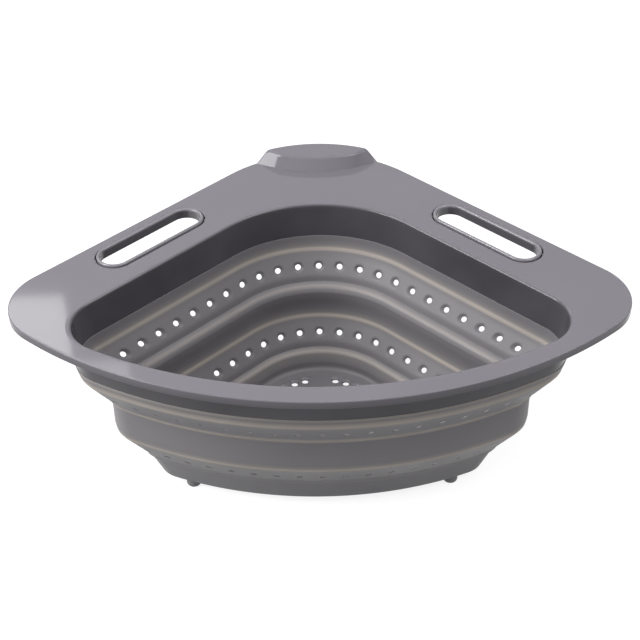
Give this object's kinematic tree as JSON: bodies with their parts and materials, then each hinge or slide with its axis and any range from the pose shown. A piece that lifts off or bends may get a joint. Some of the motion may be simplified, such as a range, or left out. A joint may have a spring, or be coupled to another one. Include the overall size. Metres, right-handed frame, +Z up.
{
  "type": "collapsible corner sink colander",
  "caption": "Corner-shaped collapsible sink colander: hard flange with two hand slots and a raised back stop, stepped fold-down bowl with drain holes, drilled floor on feet.",
  "frame": {"origin": "under the middle of the flange's bounding box, at the level the feet stand on", "axes": "+Z up, +Y towards the right-angled corner of the flange that fits the sink corner, +X along the width"},
  "size_m": [0.36, 0.2548, 0.126],
  "materials": {
    "rim_plastic": "satin-gloss moulded grey polypropylene",
    "slot_ring_plastic": "gloss moulded grey plastic, a shade lighter than the flange",
    "bowl_silicone": "smooth grey silicone with a soft sheen",
    "band_silicone": "smooth grey silicone, thinner and a shade lighter than the walls",
    "fold_silicone": "thin warm grey silicone that lets a little light through",
    "floor_plastic": "satin moulded grey plastic",
    "foot_rubber": "matte dark grey rubber"
  },
  "bodies": {
    "base": {"floor_plate": "floor_plastic", "base_cuff": "bowl_silicone", "foot_left": "foot_rubber", "foot_right": "foot_rubber", "foot_back": "foot_rubber", "fold_ring_4": "fold_silicone", "lower_fold_band": "band_silicone"},
    "middle": {"middle_wall": "bowl_silicone", "fold_ring_2": "fold_silicone", "fold_ring_3": "fold_silicone", "upper_fold_band": "band_silicone"},
    "rim": {"rim_frame": "rim_plastic", "slot_ring_left": "slot_ring_plastic", "slot_ring_right": "slot_ring_plastic", "upper_cuff": "bowl_silicone", "fold_ring_1": "fold_silicone"}
  },
  "joints": [
    {"name": "lower_fold", "type": "slide", "parent": "base", "child": "middle", "axis": [0, 0, -1], "range_m": [0, 0.0395], "deforming": ["lower_fold_band"]},
    {"name": "upper_fold", "type": "slide", "parent": "middle", "child": "rim", "axis": [0, 0, -1], "range_m": [0, 0.041], "deforming": ["upper_fold_band"]}
  ]
}
